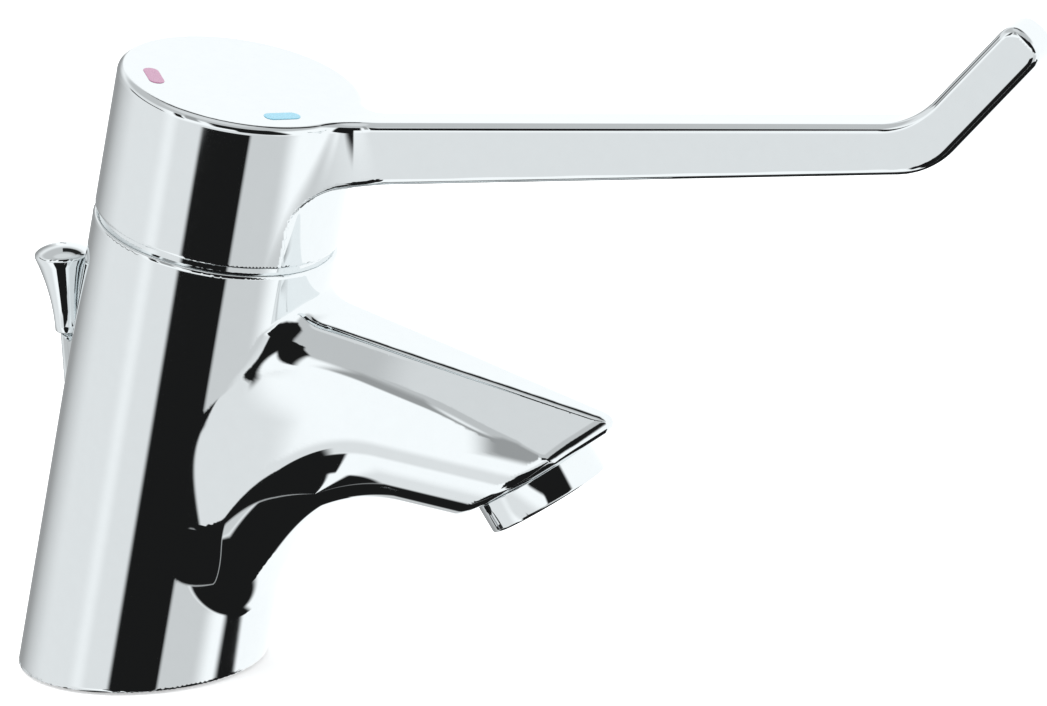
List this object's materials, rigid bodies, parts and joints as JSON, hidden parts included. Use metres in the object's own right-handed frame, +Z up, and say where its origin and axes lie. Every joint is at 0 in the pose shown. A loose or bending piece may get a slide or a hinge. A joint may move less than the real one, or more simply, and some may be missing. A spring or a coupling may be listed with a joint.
{
  "type": "basin_mixer_tap",
  "caption": "Chrome single-lever basin mixer with a leaning round body, a long cranked care lever, a sloping spout with screwed aerator and a pop-up lift rod behind it",
  "frame": {"origin": "centre of the round base where it meets the deck", "axes": "+X towards the spout in the symmetry plane, +Y to the left when looking along +X, +Z up"},
  "size_m": [0.2461, 0.054, 0.215],
  "materials": {
    "chrome_finish": "polished chrome plate",
    "red_inlay": "smooth pale red lacquer",
    "blue_inlay": "smooth light blue lacquer",
    "grey_plastic": "moulded grey plastic",
    "white_plastic": "moulded white plastic",
    "ceramic_disc": "lapped white ceramic",
    "black_rubber": "soft black rubber",
    "plain_brass": "machined brass",
    "bright_steel": "bright zinc-plated or stainless steel"
  },
  "bodies": {
    "fixed_body": {"body": "chrome_finish", "trim_ring": "chrome_finish", "cartridge_base": "grey_plastic", "port_seals": "black_rubber", "fixed_disc": "ceramic_disc", "cartridge_housing": "grey_plastic", "retaining_nut": "plain_brass", "aerator_housing": "chrome_finish", "aerator_washer": "black_rubber", "jet_insert": "white_plastic", "filter_screen": "bright_steel", "rod_guide": "white_plastic", "base_gasket": "black_rubber", "mounting_stud": "bright_steel", "clamp_gasket": "black_rubber", "clamp_plate": "bright_steel", "stud_washer": "bright_steel", "stud_nut": "bright_steel"},
    "lever": {"lever_handle": "chrome_finish", "hot_mark": "red_inlay", "cold_mark": "blue_inlay", "moving_disc": "ceramic_disc", "disc_carrier": "grey_plastic", "stem": "plain_brass", "stem_oring": "black_rubber", "stem_clip": "bright_steel", "spline_adaptor": "white_plastic", "handle_screw": "bright_steel", "screw_plug": "chrome_finish"},
    "lift": {"lift_rod": "chrome_finish", "lift_knob": "chrome_finish"}
  },
  "joints": [
    {"name": "lever_turn", "type": "hinge", "parent": "fixed_body", "child": "lever", "pos_m": [0, 0, 0], "axis": [0.2453, 0, 0.9694], "range_deg": [0, 135]},
    {"name": "lift_slide", "type": "slide", "parent": "fixed_body", "child": "lift", "axis": [0, 0, 1], "range_m": [0, 0.035]}
  ]
}
